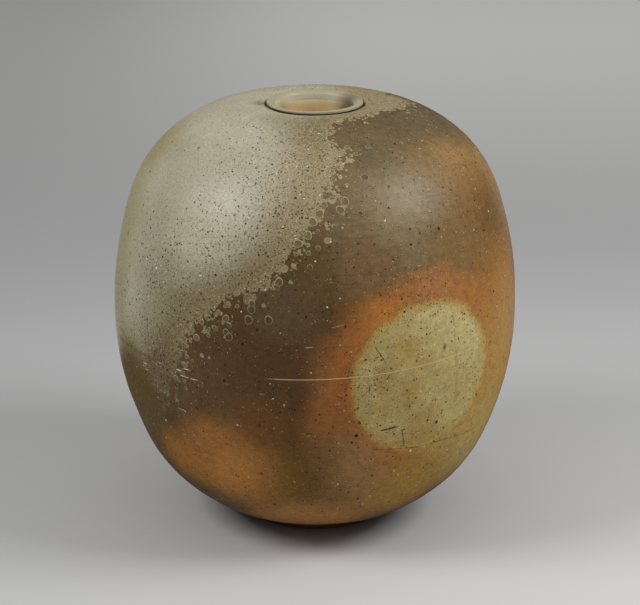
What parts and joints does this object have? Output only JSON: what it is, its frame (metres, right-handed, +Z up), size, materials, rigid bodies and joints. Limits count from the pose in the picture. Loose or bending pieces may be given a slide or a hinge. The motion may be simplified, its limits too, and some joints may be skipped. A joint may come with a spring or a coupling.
{
  "type": "moon jar",
  "caption": "Full round stoneware storage jar, luted from thrown bowls, with a low rolled mouth, a turned foot, natural ash glaze and fire flashing.",
  "frame": {"origin": "on the table under the jar's axis", "axes": "+Z up the jar's axis, -Y towards the side that the picture shows, +X to that view's right"},
  "size_m": [0.3006, 0.3, 0.3174],
  "materials": {
    "stoneware": "wood-fired, satin",
    "slip": "unglazed, matte",
    "ash_glaze": "natural ash glaze, satin"
  },
  "bodies": {
    "root": {"lower_bowl": "stoneware", "upper_bowl": "stoneware", "mouth_collar": "stoneware", "belly_slip": "slip", "collar_slip": "slip", "ash_glaze": "ash_glaze", "lip_glaze": "ash_glaze", "ash_drop_front_1": "ash_glaze", "ash_drop_front_2": "ash_glaze", "ash_drop_front_3": "ash_glaze", "ash_drop_front_4": "ash_glaze", "ash_drop_front_5": "ash_glaze", "ash_drop_front_6": "ash_glaze", "ash_drop_front_7": "ash_glaze", "ash_drop_front_8": "ash_glaze", "ash_drop_front_9": "ash_glaze", "ash_drop_front_10": "ash_glaze", "ash_drop_front_11": "ash_glaze", "ash_drop_front_12": "ash_glaze", "ash_drop_back_1": "ash_glaze", "ash_drop_back_2": "ash_glaze", "ash_drop_back_3": "ash_glaze", "ash_drop_back_4": "ash_glaze", "ash_drop_back_5": "ash_glaze", "ash_drop_back_6": "ash_glaze", "ash_drop_back_7": "ash_glaze", "ash_drop_back_8": "ash_glaze", "ash_drop_back_9": "ash_glaze", "ash_drop_back_10": "ash_glaze", "ash_drop_back_11": "ash_glaze", "ash_drop_back_12": "ash_glaze"}
  },
  "joints": []
}
